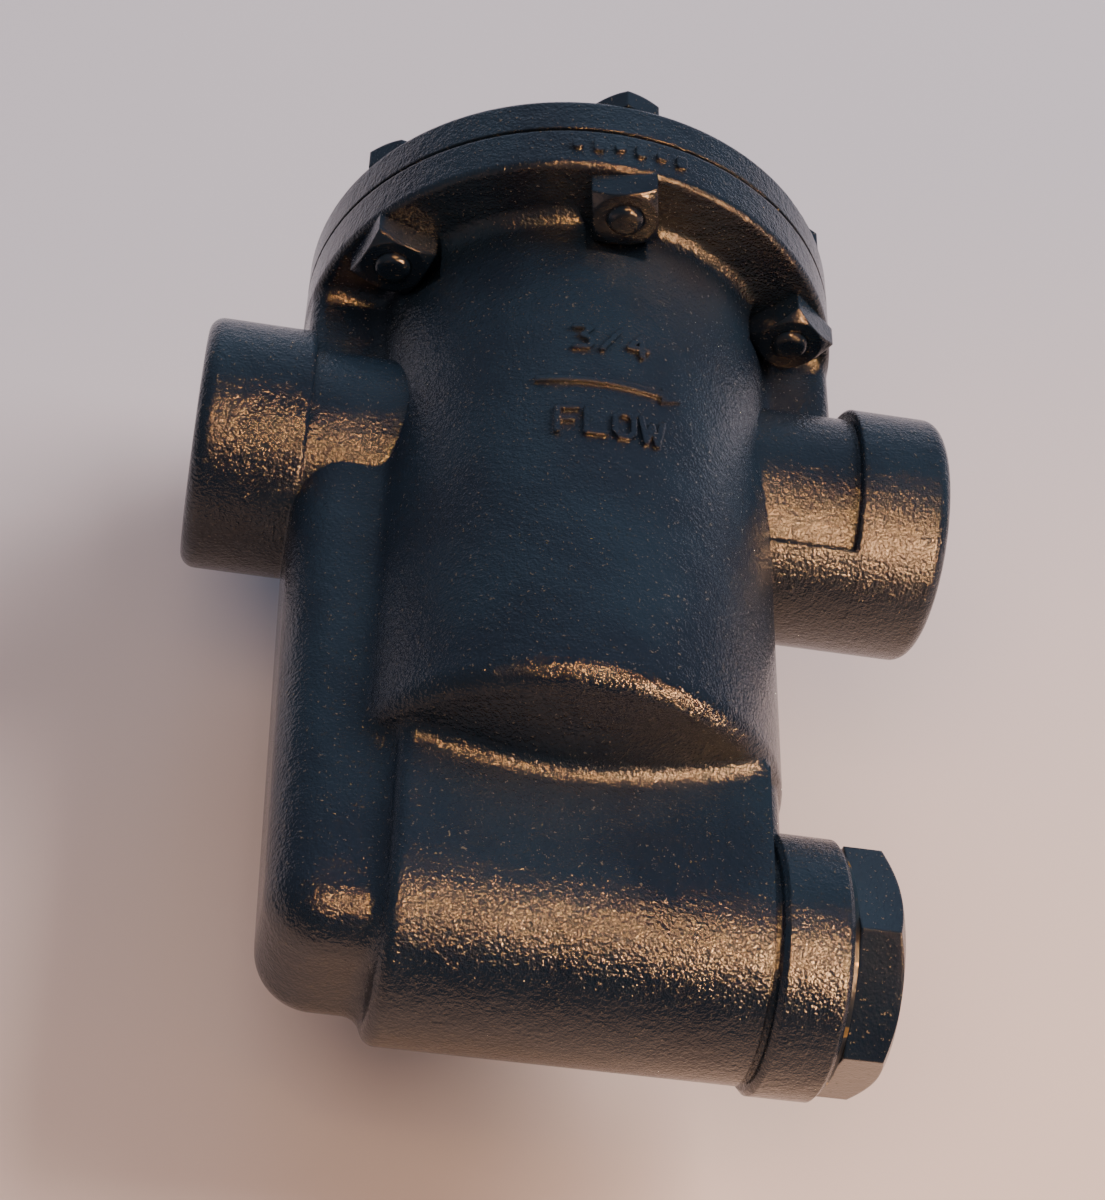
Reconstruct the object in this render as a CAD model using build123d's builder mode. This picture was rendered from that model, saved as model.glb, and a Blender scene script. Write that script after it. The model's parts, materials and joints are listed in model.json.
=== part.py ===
from build123d import *
from math import atan2, cos, degrees, radians, sin, sqrt, tan
import os

# Inverted-bucket steam trap with straight-through pipe connections and a built-in strainer.
#
# Frame: the origin is the centre of the inlet face. +X runs along the pipe from inlet to outlet,
# +Z points up to the cap and the front of the trap faces -Y. Sizes are in millimetres.

# ---- overall sizes
FACE_TO_FACE = 127.0
CHAMBER_R = 35.4
FLANGE_WIDTH = 12.2
CHAMBER_WALL = 4.4
PARTING_Z = 39.0
FLANGE_THICK = 8.3
CAP_THICK = 7.6
GASKET_THICK = 0.8
CHAMBER_FOOT_Z = -66.5
CHAMBER_FLOOR_Z = -59.0
FOOT_CONE_ANGLE = 18.9
FOOT_EDGE_ROUND = 4.0
CAST_ROUND = 3.0

# ---- pipe connections
PORT_BOSS_R = 21.35
INLET_BOSS_LENGTH = 18.2
OUTLET_BOSS_LENGTH = 15.8
NECK_STEP = 1.9
NECK_DROP = 1.6
NECK_FLUSH_DEPTH = 16.4
PORT_BORE_R = 11.9
PORT_THREAD_LENGTH = 14.5
BOSS_ROUND = 2.6

# ---- inlet leg and strainer housing
LEG_SETBACK = 10.6
LEG_SPREAD = 2.6
LEG_HALF_DEPTH = 15.2
LEG_BOTTOM_Z = -101.6
LEG_ROUND = 8.2
LEG_PASSAGE_WIDTH = 5.6
LEG_PASSAGE_DEPTH = 15.0
LEG_POCKET_R = 7.0
STRAINER_Z = -89.9
HOUSING_R = 18.6
HOUSING_INSET_LEFT = 3.12
HOUSING_INSET_RIGHT = 0.32
HOUSING_END_WALL = 3.0
COLLAR_R = 19.9
COLLAR_GROOVE = 1.1
COLLAR_LENGTH = 10.6
COLLAR_NECK_R = 18.0

# ---- outlet post
POST_HALF_WIDTH = 9.2
POST_PASSAGE_R = 4.3

# ---- cap bolts
BOLT_COUNT = 6
BOLT_EDGE = 6.5
BOLT_CIRCLE_TURN = 3.4
BOLT_R = 3.15
BOLT_HOLE_GAP = 0.45
BOLT_HEAD_AF = 11.1
BOLT_HEAD_THICK = 4.3
BOLT_HEAD_TURN = 22.0
NUT_AF = 11.0
NUT_THICK = 5.2
NUT_TURNS = (-13, 42, 8, -6, 31, 20)
BOLT_TIP_OUT = 1.1
CROWN_SLOPE = 0.55
THREAD_GAP = 0.03
SPOT_FACE_GAP = 0.35

# ---- strainer plug and screen
PLUG_HEX_AF = 33.3
PLUG_HEX_THICK = 7.4
PLUG_HEX_TURN = 11.3
PLUG_THREAD_R = 15.4
MOUTH_LEDGE = 1.4
PLUG_THREAD_LENGTH = 12.0
PLUG_GASKET_THICK = 0.9
PLUG_GASKET_WIDTH = 2.6
SCREEN_SIDE_GAP = 1.6
SCREEN_WALL = 0.7
SCREEN_SEAT_DEPTH = 5.0
SCREEN_HOLE_R = 1.5
SCREEN_HOLE_ROWS = 9
SCREEN_HOLES_ROUND = 12
SCREEN_BAND_WIDTH = 4.0
SCREEN_BAND_THICK = 0.6
SCREEN_GAP = 0.3

# ---- cap
CAP_PAD_R = 13.0
CAP_PAD_HEIGHT = 5.0
RIDGE_HALF_WIDTH = 7.0
CAP_PLUG_GAP = 3.0
CAP_PLUG_DEPTH = 4.0
SEAT_BOSS_R = 10.0
SEAT_BOSS_DEPTH = 6.8
CHANNEL_R = 3.4
CHANNEL_Z = 44.6
TEST_PLUG_R = 4.9
TEST_PLUG_LENGTH = 6.5
TEST_PLUG_SQUARE = 7.1
TEST_PLUG_SQUARE_HEIGHT = 5.2

# ---- valve mechanism
PIVOT_INSET = 13.0
PIVOT_Z = 22.5
VALVE_ARM = 4.8
VALVE_TOP_RISE = 2.93
LEVER_TRAVEL = 12.0
SEAT_THREAD_R = 5.4
SEAT_THREAD_LENGTH = 8.0
SEAT_HEX_AF = 12.7
SEAT_HEX_THICK = 3.4
SEAT_NOZZLE_R = 3.2
SEAT_NOZZLE_LENGTH = 1.5
ORIFICE_R = 1.1
SEAT_BORE_R = 2.6
BRACKET_THICK = 1.6
BRACKET_HALF_WIDTH = 9.8
BRACKET_INSET = 4.0
BRACKET_LENGTH = 20.1
EAR_HALF_LENGTH = 4.0
BRACKET_SCREW_EDGE = 2.8
BRACKET_SCREW_SPACING = 10.0
BRACKET_SCREW_R = 1.4
BRACKET_SCREW_DEPTH = 5.0
PIVOT_PIN_R = 1.5
PIN_GAP = 0.05
PIN_CLIP_THICK = 0.8
PIN_CLIP_R = 2.7
LEVER_THICK = 2.0
LEVER_WIDTH = 7.0
LEVER_HUB_R = 2.9
LEVER_SIDE_GAP = 0.5
VALVE_HEAD_R = 2.5
VALVE_SHANK_R = 1.3
VALVE_NUT_R = 2.4
VALVE_NUT_THICK = 1.4

# ---- bucket
BUCKET_SIDE_GAP = 7.0
BUCKET_WALL = 0.9
BUCKET_HEIGHT = 57.0
BUCKET_HANG = 9.0
BUCKET_BEAD_R = 0.9
BUCKET_CROWN_ROUND = 3.0
VENT_OFFSET = 9.0
VENT_R = 1.0
CLIP_THICK = 1.2
CLIP_HALF_LENGTH = 3.2
CLIP_EAR_RISE = 2.8
HANGER_PIN_R = 1.2
RIVET_R = 1.5
RIVET_HEAD_R = 2.6
RIVET_HEAD_THICK = 1.0

# ---- riser
RISER_R = 6.35
RISER_WALL = 1.2
RISER_TOP_Z = -12.0
RISER_SEAT_DEPTH = 9.0

# ---- raised casting marks
MARK_HEIGHT = 0.7
MARK_STROKE = 1.0
MARK_CENTRE = 1.2
MARK_TEXT_SIZE = 5.0
MARK_TEXT_SPACING = 1.5
MARK_TEXT_Z = -16.5
MARK_SIZE_TEXT = 4.6
MARK_SIZE_SPACING = 1.7
MARK_SIZE_Z = 2.0
MARK_ARROW_Z = -7.6
ARROW_HALF_LENGTH = 12.0
ARROW_HALF_WIDTH = 0.65
ARROW_HEAD = 3.4
PIP_COUNT = 6
PIP_SPACING_DEG = 4.3
PIP_CENTRE_DEG = 2.4
PIP_SIZE = (2.0, 3.0)

# ---- sizes worked out from the ones above
AXIS_X = FACE_TO_FACE / 2
CAVITY_R = CHAMBER_R - CHAMBER_WALL
FLANGE_R = CHAMBER_R + FLANGE_WIDTH
BOLT_CIRCLE_R = FLANGE_R - BOLT_EDGE
POST_PASSAGE_OUT = BOLT_CIRCLE_R - 0.7
CHEEK_CHORD = sqrt(CHAMBER_R**2 - HOUSING_R**2)
HOUSING_LEFT = CHEEK_CHORD - HOUSING_INSET_LEFT
HOUSING_RIGHT = CHEEK_CHORD - HOUSING_INSET_RIGHT
HOUSING_BORE_R = PLUG_THREAD_R - MOUTH_LEDGE
COLLAR_START = HOUSING_RIGHT + COLLAR_GROOVE
FLANGE_UNDER_Z = PARTING_Z - FLANGE_THICK
CAP_UNDER_Z = PARTING_Z + GASKET_THICK
CAP_TOP_Z = CAP_UNDER_Z + CAP_THICK
NECK_R = PORT_BOSS_R - NECK_STEP
PORT_PASSAGE_R = PORT_BORE_R - 2.6
LEG_OUTER_X = AXIS_X - CHAMBER_R - LEG_SETBACK
COLLAR_FACE_X = AXIS_X + COLLAR_START + COLLAR_LENGTH
PLUG_HEX_X = COLLAR_FACE_X + PLUG_GASKET_THICK
SCREEN_LEFT_X = AXIS_X - HOUSING_LEFT + HOUSING_END_WALL
SCREEN_RIGHT_X = COLLAR_FACE_X - PLUG_THREAD_LENGTH + SCREEN_SEAT_DEPTH
SCREEN_R = HOUSING_BORE_R - SCREEN_SIDE_GAP
BOLT_HOLE_R = BOLT_R + BOLT_HOLE_GAP
SPOT_FACE_R = NUT_AF / sqrt(2) + SPOT_FACE_GAP
SPOT_FACE_DEPTH = NUT_THICK + 2 * BOLT_TIP_OUT
CAP_PLUG_R = CAVITY_R - CAP_PLUG_GAP
SEAT_FACE_Z = CAP_UNDER_Z - SEAT_BOSS_DEPTH
PIVOT_OUT = CAVITY_R - PIVOT_INSET
PIVOT_X = AXIS_X + PIVOT_OUT
VALVE_X = PIVOT_X - VALVE_ARM
BRACKET_FOOT_Z = SEAT_FACE_Z - BRACKET_THICK
BRACKET_OUTER = CAVITY_R - BRACKET_INSET
BRACKET_SCREW_OUT = BRACKET_OUTER - BRACKET_SCREW_EDGE
TRAVEL = radians(LEVER_TRAVEL)
SEAT_X = PIVOT_X - VALVE_ARM * cos(TRAVEL) + VALVE_TOP_RISE * sin(TRAVEL)
BUCKET_R = CAVITY_R - BUCKET_SIDE_GAP
BUCKET_TOP_Z = PIVOT_Z - BUCKET_HANG
BUCKET_RIM_Z = BUCKET_TOP_Z - BUCKET_HEIGHT
LEVER_HUB_HALF = LEVER_WIDTH / 2
EAR_INNER_Y = BRACKET_HALF_WIDTH - BRACKET_THICK
CLIP_INNER_Y = LEVER_HUB_HALF + LEVER_SIDE_GAP
CLIP_OUTER_Y = CLIP_INNER_Y + CLIP_THICK

# ---- planes and axes that the sub-parts are drawn on
BODY_AXIS = Axis((AXIS_X, 0, 0), (0, 0, 1))
STRAINER_AXIS = Axis((AXIS_X, 0, STRAINER_Z), (1, 0, 0))
BODY_SECTION = Plane(origin=(AXIS_X, 0, 0), x_dir=(1, 0, 0), z_dir=(0, -1, 0))


def level(z, x=AXIS_X, turn=0.0):
    """A horizontal plane at height z, centred over x and turned about its own normal."""
    return Plane(origin=(x, 0, z), x_dir=(cos(radians(turn)), sin(radians(turn)), 0), z_dir=(0, 0, 1))


def across(x, z=0.0):
    """A plane square to the pipe at x, centred at height z."""
    return Plane(origin=(x, 0, z), x_dir=(0, 1, 0), z_dir=(1, 0, 0))


def side(y, x=AXIS_X, z=0.0):
    """An upright plane facing the back, at depth y."""
    return Plane(origin=(x, y, z), x_dir=(-1, 0, 0), z_dir=(0, 1, 0))


def bolt_points(z):
    """Locations of the cap bolts on the plane at height z."""
    start = BOLT_CIRCLE_TURN - 90
    return [
        level(z).location * Location((BOLT_CIRCLE_R * cos(a), BOLT_CIRCLE_R * sin(a), 0))
        for a in (radians(start + 360 * i / BOLT_COUNT) for i in range(BOLT_COUNT))
    ]


def lies_within(edge, low, high):
    """Whether an edge lies inside the box from low to high."""
    box = edge.bounding_box()
    return all(a < b for a, b in zip(low, box.min)) and all(b < a for a, b in zip(high, box.max))


def beside_plane(edge, offset, low_x, high_x):
    """Whether an upright edge runs at the given distance to either side of the middle plane."""
    box = edge.bounding_box()
    flat = abs(abs(box.min.Y) - offset) < 0.3 and abs(abs(box.max.Y) - offset) < 0.3
    return flat and box.size.Z > 4 and low_x < box.min.X and box.max.X < high_x


def under_flange(edge):
    """Whether an edge is where the chamber wall, the post or the rib meets the flange."""
    box = edge.bounding_box()
    if box.size.Z > 20:
        return edge.geom_type == GeomType.LINE and box.max.Z > FLANGE_UNDER_Z - 0.1
    level_with_face = abs(box.min.Z - FLANGE_UNDER_Z) < 0.1 and abs(box.max.Z - FLANGE_UNDER_Z) < 0.1
    return level_with_face and (edge.center() - Vector(AXIS_X, 0, FLANGE_UNDER_Z)).length < FLANGE_R - 5


def on_cap_top(edge):
    """Whether an edge is where the pad or the ridge meets the top face of the cap."""
    box = edge.bounding_box()
    level_with_face = abs(box.min.Z - CAP_TOP_Z) < 0.01 and abs(box.max.Z - CAP_TOP_Z) < 0.01
    return level_with_face and box.size.Y < 2 * CAP_PAD_R + 1


def corner_trim(across_flats, face, inwards):
    """Section that slopes off the corners of a head or nut whose outer face is at height face."""
    half = across_flats / 2
    with BuildSketch() as trim:
        with BuildLine():
            Polyline(
                (half, face), (2 * half, face), (2 * half, face + inwards * CROWN_SLOPE * half),
                close=True,
            )
        make_face()
    return trim.sketch


def finish(piece, name):
    """Label a finished piece and write its file."""
    piece.label = name
    export_step(piece, f"parts/{name}.step")


os.makedirs("parts", exist_ok=True)


# ---------------------------------------------------------------- casting features
def chamber_shell():
    """Upright chamber with its bolting flange and shallow cone foot, still solid."""
    drop = CHAMBER_R * tan(radians(FOOT_CONE_ANGLE))
    with BuildPart() as shell:
        with BuildSketch(BODY_SECTION):
            with BuildLine():
                Polyline(
                    (0, PARTING_Z), (FLANGE_R, PARTING_Z), (FLANGE_R, FLANGE_UNDER_Z),
                    (CHAMBER_R, FLANGE_UNDER_Z), (CHAMBER_R, CHAMBER_FOOT_Z),
                    (0, CHAMBER_FOOT_Z - drop), close=True,
                )
            make_face()
        revolve(axis=BODY_AXIS)
        foot = shell.edges().filter_by(GeomType.CIRCLE).sort_by(Axis.Z)[0]
        fillet(foot, FOOT_EDGE_ROUND)
        rims = shell.edges().filter_by(GeomType.CIRCLE).filter_by(
            lambda e: e.radius > FLANGE_R - 0.1 and e.center().Z < PARTING_Z - 1)
        fillet(rims, 1.2)
    return shell.part


def inlet_leg():
    """Vertical limb that carries the flow from the inlet down to the strainer."""
    inner_x = AXIS_X - HOUSING_LEFT + 3
    with BuildPart() as limb:
        with BuildSketch(Plane.XZ):
            with BuildLine():
                Polyline(
                    (LEG_OUTER_X - LEG_SPREAD / 2, 2), (LEG_OUTER_X + LEG_SPREAD, LEG_BOTTOM_Z),
                    (inner_x, LEG_BOTTOM_Z), (inner_x, 2), close=True,
                )
            make_face()
            heel = vertices().group_by(Axis.Y)[0].sort_by(Axis.X)[0]
            fillet(heel, LEG_ROUND + 1.2)
        extrude(amount=LEG_HALF_DEPTH, both=True)
        rounded = limb.edges().filter_by(
            lambda e: abs(e.center().Y) > LEG_HALF_DEPTH - 0.01
            and e.center().X < inner_x - 0.1 and e.center().Z < 1)
        fillet(rounded, LEG_ROUND)
    return limb.part


def strainer_housing():
    """Horizontal housing below the chamber, a half-round trough with upright cheeks."""
    left, right = AXIS_X - HOUSING_LEFT, AXIS_X + HOUSING_RIGHT
    cheek = CHAMBER_FOOT_Z - STRAINER_Z + 2 * FOOT_EDGE_ROUND
    with BuildPart() as housing:
        with BuildSketch(across(left, STRAINER_Z)):
            Circle(HOUSING_R)
            with Locations((0, cheek / 2)):
                Rectangle(2 * HOUSING_R, cheek)
        extrude(amount=right - left)
        end_edges = housing.edges().filter_by(
            lambda e: e.center().X < left + 0.01 and e.center().Z < STRAINER_Z + cheek - 1)
        fillet(end_edges, 2.4)
    return housing.part


def housing_shoulder():
    """The chamber wall carried down to the strainer collar at the plug end."""
    depth = CHAMBER_FOOT_Z - STRAINER_Z + 4
    with BuildPart() as shoulder:
        with BuildSketch(level(STRAINER_Z)):
            Circle(CHAMBER_R - 0.7)
            with Locations((CHAMBER_R - 5.4, 0)):
                Rectangle(18, 2 * HOUSING_R - 8, mode=Mode.INTERSECT)
        extrude(amount=depth)
        fillet(shoulder.edges().filter_by(Axis.Z).group_by(Axis.X)[-1], 4.0)
    return shoulder.part


def outlet_post():
    """Upright post under the flange that carries the discharge passage down to the outlet."""
    with BuildPart() as post:
        with BuildSketch(level(0)):
            Circle(FLANGE_R - 0.3)
            with Locations((FLANGE_R - 7.5, 0)):
                Rectangle(15, 2 * POST_HALF_WIDTH, mode=Mode.INTERSECT)
        extrude(amount=FLANGE_UNDER_Z + 2)
        fillet(post.edges().filter_by(Axis.Z).group_by(Axis.X)[-1], 3.0)
    return post.part


def inlet_rib():
    """Upright rib under the flange over the inlet neck."""
    with BuildPart() as rib:
        with BuildSketch(level(0)):
            Circle(FLANGE_R - 0.3)
            with Locations((7.5 - FLANGE_R, 0)):
                Rectangle(15, 2 * POST_HALF_WIDTH, mode=Mode.INTERSECT)
        extrude(amount=FLANGE_UNDER_Z + 2)
        fillet(rib.edges().filter_by(Axis.Z).group_by(Axis.X)[0], 3.0)
    return rib.part


def port_boss(x, length):
    """Round pipe boss whose outer face is at x, running inwards by length."""
    with BuildPart() as boss:
        with BuildSketch(across(x)):
            Circle(PORT_BOSS_R)
        extrude(amount=length)
        outer = boss.edges().filter_by(GeomType.CIRCLE).filter_by(lambda e: abs(e.center().X - x) < 0.01)
        fillet(outer, BOSS_ROUND)
        inner = boss.edges().filter_by(GeomType.CIRCLE).filter_by(
            lambda e: abs(e.center().X - x - length) < 0.01)
        fillet(inner, 0.8)
    return boss.part


def stroke_letters(word, height, spacing):
    """Face of plain one-stroke letters, centred on the plane's origin."""
    width = 0.62 * height
    strokes = {
        "F": [[(0, 0), (0, 1), (1, 1)], [(0, 0.5), (0.8, 0.5)]],
        "L": [[(0, 1), (0, 0), (1, 0)]],
        "O": [[(0, 0.2), (0, 0.8), (0.3, 1), (0.7, 1), (1, 0.8), (1, 0.2), (0.7, 0), (0.3, 0), (0, 0.2)]],
        "W": [[(-0.1, 1), (0.2, 0), (0.5, 0.8), (0.8, 0), (1.1, 1)]],
        "3": [[(0, 1), (1, 1), (0.45, 0.58), (0.9, 0.45), (1, 0.2), (0.75, 0), (0, 0)]],
        "/": [[(0, 0), (1, 1)]],
        "4": [[(0.75, 0), (0.75, 1), (0, 0.32), (1.1, 0.32)]],
    }
    with BuildSketch() as letters:
        for i, letter in enumerate(word):
            shift = (i - (len(word) - 1) / 2) * (width + spacing) - width / 2
            for stroke in strokes[letter]:
                points = [(shift + u * width, (v - 0.5) * height) for u, v in stroke]
                for start, end in zip(points, points[1:]):
                    run = Vector(*end) - Vector(*start)
                    middle = (Vector(*end) + Vector(*start)) / 2
                    with Locations(Location(middle, (0, 0, degrees(atan2(run.Y, run.X))))):
                        SlotCenterToCenter(run.length, MARK_STROKE)
    return letters.sketch


def front_marks():
    """Pipe size, flow arrow and the word FLOW, raised on the front of the chamber."""
    front = Plane(origin=(AXIS_X + MARK_CENTRE, 0, 0), x_dir=(1, 0, 0), z_dir=(0, -1, 0))
    tip = ARROW_HALF_LENGTH
    with BuildPart() as marks:
        with BuildSketch(front):
            with Locations((0, MARK_SIZE_Z)):
                add(stroke_letters("3/4", MARK_SIZE_TEXT, MARK_SIZE_SPACING))
            with Locations((0, MARK_TEXT_Z)):
                add(stroke_letters("FLOW", MARK_TEXT_SIZE, MARK_TEXT_SPACING))
            with Locations((-ARROW_HEAD / 2, MARK_ARROW_Z)):
                Rectangle(2 * ARROW_HALF_LENGTH - ARROW_HEAD, 2 * ARROW_HALF_WIDTH)
            with BuildLine():
                Polyline(
                    (tip, MARK_ARROW_Z), (tip - ARROW_HEAD, MARK_ARROW_Z + ARROW_HEAD / 2),
                    (tip - ARROW_HEAD, MARK_ARROW_Z - ARROW_HEAD / 2), close=True,
                )
            make_face()
        extrude(amount=CHAMBER_R + 3)
        with BuildSketch(level(-CHAMBER_R)):
            Circle(CHAMBER_R + MARK_HEIGHT)
            Circle(CHAMBER_R - 1.0, mode=Mode.SUBTRACT)
        extrude(amount=2 * CHAMBER_R, mode=Mode.INTERSECT)
    return marks.part


def rim_pips():
    """A row of raised pips on the front of the flange rim."""
    middle = (FLANGE_UNDER_Z + PARTING_Z) / 2 + 0.4
    with BuildPart() as pips:
        for i in range(PIP_COUNT):
            turn = PIP_CENTRE_DEG + PIP_SPACING_DEG * (i - (PIP_COUNT - 1) / 2)
            out = Vector(sin(radians(turn)), -cos(radians(turn)), 0)
            along = Vector(cos(radians(turn)), sin(radians(turn)), 0)
            start = Vector(AXIS_X, 0, middle) + out * (FLANGE_R - 1)
            tall = PIP_SIZE[1] if i % 2 else PIP_SIZE[0]
            with BuildSketch(Plane(origin=start, x_dir=along, z_dir=out)):
                RectangleRounded(PIP_SIZE[0], tall, 0.7)
            extrude(amount=1 + MARK_HEIGHT)
    return pips.part


# ---------------------------------------------------------------- the body casting
with BuildPart() as trap_body:
    add(chamber_shell())
    add(strainer_housing())
    housing_end = AXIS_X + HOUSING_RIGHT + 0.1
    foot_ring = trap_body.edges().filter_by(lambda e: lies_within(
        e, (0, -HOUSING_R - 0.1, STRAINER_Z + 12),
        (housing_end, HOUSING_R + 0.1, CHAMBER_FOOT_Z + FOOT_EDGE_ROUND)))
    fillet(foot_ring, CAST_ROUND)
    add(inlet_leg())
    leg_corners = trap_body.edges().filter_by(
        lambda e: beside_plane(e, LEG_HALF_DEPTH, LEG_OUTER_X + LEG_ROUND, AXIS_X - HOUSING_LEFT + 5))
    fillet(leg_corners, CAST_ROUND)
    add(housing_shoulder())
    add(outlet_post())
    add(inlet_rib())
    fillet(trap_body.edges().filter_by(under_flange), CAST_ROUND)
    # inlet boss and its smaller neck
    add(port_boss(0, INLET_BOSS_LENGTH))
    with BuildSketch(across(INLET_BOSS_LENGTH - 1)):
        with Locations((0, -NECK_DROP)):
            Circle(NECK_R)
    extrude(amount=AXIS_X - CHAMBER_R + 10 - INLET_BOSS_LENGTH)
    # outlet boss, its neck, and the lower part of the neck that is flush with the boss
    add(mirror(port_boss(0, OUTLET_BOSS_LENGTH), about=Plane.YZ.offset(AXIS_X), mode=Mode.PRIVATE))
    neck_x = AXIS_X + CHAMBER_R - 8
    neck_end = FACE_TO_FACE - OUTLET_BOSS_LENGTH + 1
    with BuildSketch(across(neck_x)):
        Circle(NECK_R)
    extrude(amount=neck_end - neck_x)
    with BuildSketch(across(neck_x)):
        Circle(PORT_BOSS_R)
        with Locations((0, PORT_BOSS_R - NECK_FLUSH_DEPTH)):
            Rectangle(3 * PORT_BOSS_R, 2 * PORT_BOSS_R, mode=Mode.SUBTRACT)
    extrude(amount=neck_end - neck_x)
    # strainer collar and the narrow groove behind it
    with BuildSketch(across(AXIS_X + HOUSING_RIGHT - 1, STRAINER_Z)):
        Circle(COLLAR_NECK_R)
    extrude(amount=COLLAR_START - HOUSING_RIGHT + 2)
    with BuildSketch(across(AXIS_X + COLLAR_START, STRAINER_Z)):
        Circle(COLLAR_R)
    extrude(amount=COLLAR_LENGTH)
    add(front_marks())
    add(rim_pips())
    # bucket chamber
    with BuildSketch(level(CHAMBER_FLOOR_Z)):
        Circle(CAVITY_R)
    extrude(amount=PARTING_Z - CHAMBER_FLOOR_Z, mode=Mode.SUBTRACT)
    # bolt holes through the flange
    with Locations(*bolt_points(PARTING_Z)):
        Hole(BOLT_HOLE_R, depth=FLANGE_THICK)
    # spot faces that let the square nuts sit square under the flange
    with BuildSketch(level(FLANGE_UNDER_Z, 0)):
        with Locations(*bolt_points(0)):
            Circle(SPOT_FACE_R)
    extrude(amount=-SPOT_FACE_DEPTH, mode=Mode.SUBTRACT)
    # inlet: tapped mouth, passage, and the slot down the leg
    slot_x = AXIS_X - CHAMBER_R - LEG_PASSAGE_WIDTH / 2 - 0.2
    with BuildSketch(across(0)):
        Circle(PORT_BORE_R)
    extrude(amount=PORT_THREAD_LENGTH, mode=Mode.SUBTRACT)
    with BuildSketch(across(0)):
        Circle(PORT_PASSAGE_R)
    extrude(amount=slot_x, mode=Mode.SUBTRACT)
    with BuildSketch(level(STRAINER_Z, slot_x)):
        RectangleRounded(LEG_PASSAGE_WIDTH, LEG_PASSAGE_DEPTH, 2.5)
    extrude(amount=-STRAINER_Z + 2, mode=Mode.SUBTRACT)
    # strainer bore, its left-hand pocket into the leg, and the threaded mouth
    with BuildSketch(across(SCREEN_LEFT_X, STRAINER_Z)):
        Circle(HOUSING_BORE_R)
    extrude(amount=COLLAR_FACE_X - SCREEN_LEFT_X, mode=Mode.SUBTRACT)
    with BuildSketch(across(slot_x, STRAINER_Z)):
        Circle(LEG_POCKET_R)
    extrude(amount=SCREEN_LEFT_X - slot_x, mode=Mode.SUBTRACT)
    with BuildSketch(across(COLLAR_FACE_X, STRAINER_Z)):
        Circle(PLUG_THREAD_R + THREAD_GAP)
    extrude(amount=-PLUG_THREAD_LENGTH - 1.5, mode=Mode.SUBTRACT)
    # riser seat in the chamber floor
    with BuildSketch(level(CHAMBER_FLOOR_Z)):
        Circle(RISER_R)
    extrude(amount=-RISER_SEAT_DEPTH, mode=Mode.SUBTRACT)
    with BuildSketch(level(CHAMBER_FLOOR_Z)):
        Circle(RISER_R - RISER_WALL)
    extrude(amount=STRAINER_Z - CHAMBER_FLOOR_Z, mode=Mode.SUBTRACT)
    # outlet: tapped mouth, passage, and the hole up the post
    with BuildSketch(across(FACE_TO_FACE)):
        Circle(PORT_BORE_R)
    extrude(amount=-PORT_THREAD_LENGTH, mode=Mode.SUBTRACT)
    with BuildSketch(across(FACE_TO_FACE)):
        Circle(PORT_PASSAGE_R)
    extrude(amount=AXIS_X + POST_PASSAGE_OUT - POST_PASSAGE_R - FACE_TO_FACE, mode=Mode.SUBTRACT)
    with BuildSketch(level(0, AXIS_X + POST_PASSAGE_OUT)):
        Circle(POST_PASSAGE_R)
    extrude(amount=PARTING_Z, mode=Mode.SUBTRACT)
    # light chamfers on the collar
    lips = trap_body.edges().filter_by(GeomType.CIRCLE).filter_by(
        lambda e: abs(e.radius - COLLAR_R) < 0.01)
    chamfer(lips, 0.8)
finish(trap_body.part, "trap_body")


# ---------------------------------------------------------------- riser inside the chamber
with BuildPart() as riser_tube:
    foot_z = CHAMBER_FLOOR_Z - RISER_SEAT_DEPTH
    with BuildSketch(level(foot_z)):
        Circle(RISER_R)
        Circle(RISER_R - RISER_WALL, mode=Mode.SUBTRACT)
    extrude(amount=RISER_TOP_Z - foot_z)
    chamfer(riser_tube.edges().group_by(Axis.Z)[-1], 0.3)
finish(riser_tube.part, "riser_tube")

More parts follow.
